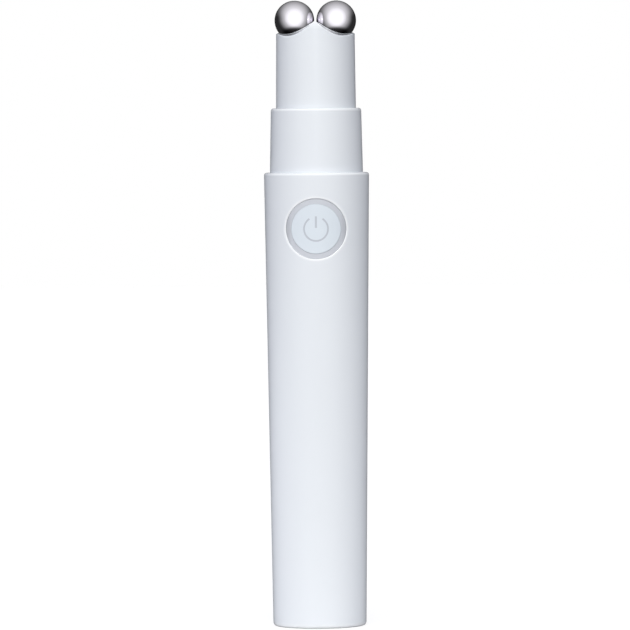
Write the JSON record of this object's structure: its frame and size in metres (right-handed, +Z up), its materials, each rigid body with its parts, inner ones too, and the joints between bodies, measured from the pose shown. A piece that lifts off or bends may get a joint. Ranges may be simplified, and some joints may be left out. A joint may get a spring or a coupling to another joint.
{
  "type": "microcurrent face massager",
  "caption": "Slim pen-shaped face massager with fixed metal ball electrodes, a stepped neck and a round lit power button on a tapered barrel that stands on its flat end.",
  "frame": {"origin": "centre of the flat end that the wand stands on", "axes": "+Z up the wand towards the ball electrodes, -Y out of the power button, +X to the button's right"},
  "size_m": [0.025, 0.025, 0.1489],
  "materials": {
    "white_shell": "glossy cool white moulded shell",
    "light_guide": "milky grey translucent light guide, unlit",
    "button_white": "pale blue white satin cap with a grey power symbol",
    "electrode_chrome": "polished chrome plating",
    "screw_steel": "zinc plated steel",
    "socket_steel": "stamped and plated steel",
    "lug_brass": "tinned brass",
    "inner_plastic": "natural white moulding, not polished",
    "black_plastic": "black moulded resin",
    "board_green": "green solder mask on glass laminate",
    "led_lens": "pale yellow clear resin",
    "battery_foil": "laminated foil pouch",
    "capacitor_can": "drawn aluminium can",
    "foam_grey": "closed cell adhesive foam",
    "seal_rubber": "grey silicone",
    "inductor_core": "sintered ferrite",
    "transformer_winding": "varnished copper winding under tape",
    "wire_red": "red insulated wire",
    "wire_black": "black insulated wire",
    "wire_blue": "blue insulated wire"
  },
  "bodies": {
    "wand": {"barrel": "white_shell", "end_cap": "white_shell", "collar": "white_shell", "head_shell": "white_shell", "electrode_seat": "white_shell", "end_cap_seal": "seal_rubber", "ball_left": "electrode_chrome", "ball_right": "electrode_chrome", "ball_screw_left": "screw_steel", "ball_screw_right": "screw_steel", "solder_lug_left": "lug_brass", "solder_lug_right": "lug_brass", "electrode_wire_left": "wire_blue", "electrode_wire_right": "wire_blue", "neck_frame": "inner_plastic", "neck_screw_left": "screw_steel", "neck_screw_right": "screw_steel", "light_ring": "light_guide", "switch_body": "black_plastic", "main_board": "board_green", "board_screw_1": "screw_steel", "board_screw_2": "screw_steel", "board_screw_3": "screw_steel", "board_screw_4": "screw_steel", "chassis": "inner_plastic", "led_1": "led_lens", "led_2": "led_lens", "led_3": "led_lens", "led_4": "led_lens", "battery_cell": "battery_foil", "battery_pad": "foam_grey", "battery_plug": "inner_plastic", "battery_lead_positive": "wire_red", "battery_lead_negative": "wire_black", "charge_controller": "black_plastic", "buzzer": "black_plastic", "boost_inductor": "inductor_core", "output_capacitor": "capacitor_can", "pulse_transformer": "transformer_winding", "microcontroller": "black_plastic", "socket_shell": "socket_steel", "socket_tongue": "black_plastic"},
    "button": {"button_cap": "button_white"},
    "plunger": {"switch_plunger": "black_plastic"}
  },
  "joints": [
    {"name": "button_press", "type": "slide", "parent": "wand", "child": "button", "axis": [0, 1, 0], "range_m": [0, 0.0004], "stiffness_N_per_m": 4000},
    {"name": "plunger_press", "type": "slide", "parent": "wand", "child": "plunger", "axis": [0, 1, 0], "range_m": [0, 0.0004]}
  ],
  "couplings": [
    {"joint": "plunger_press", "follows": "button_press", "ratio": 1}
  ]
}
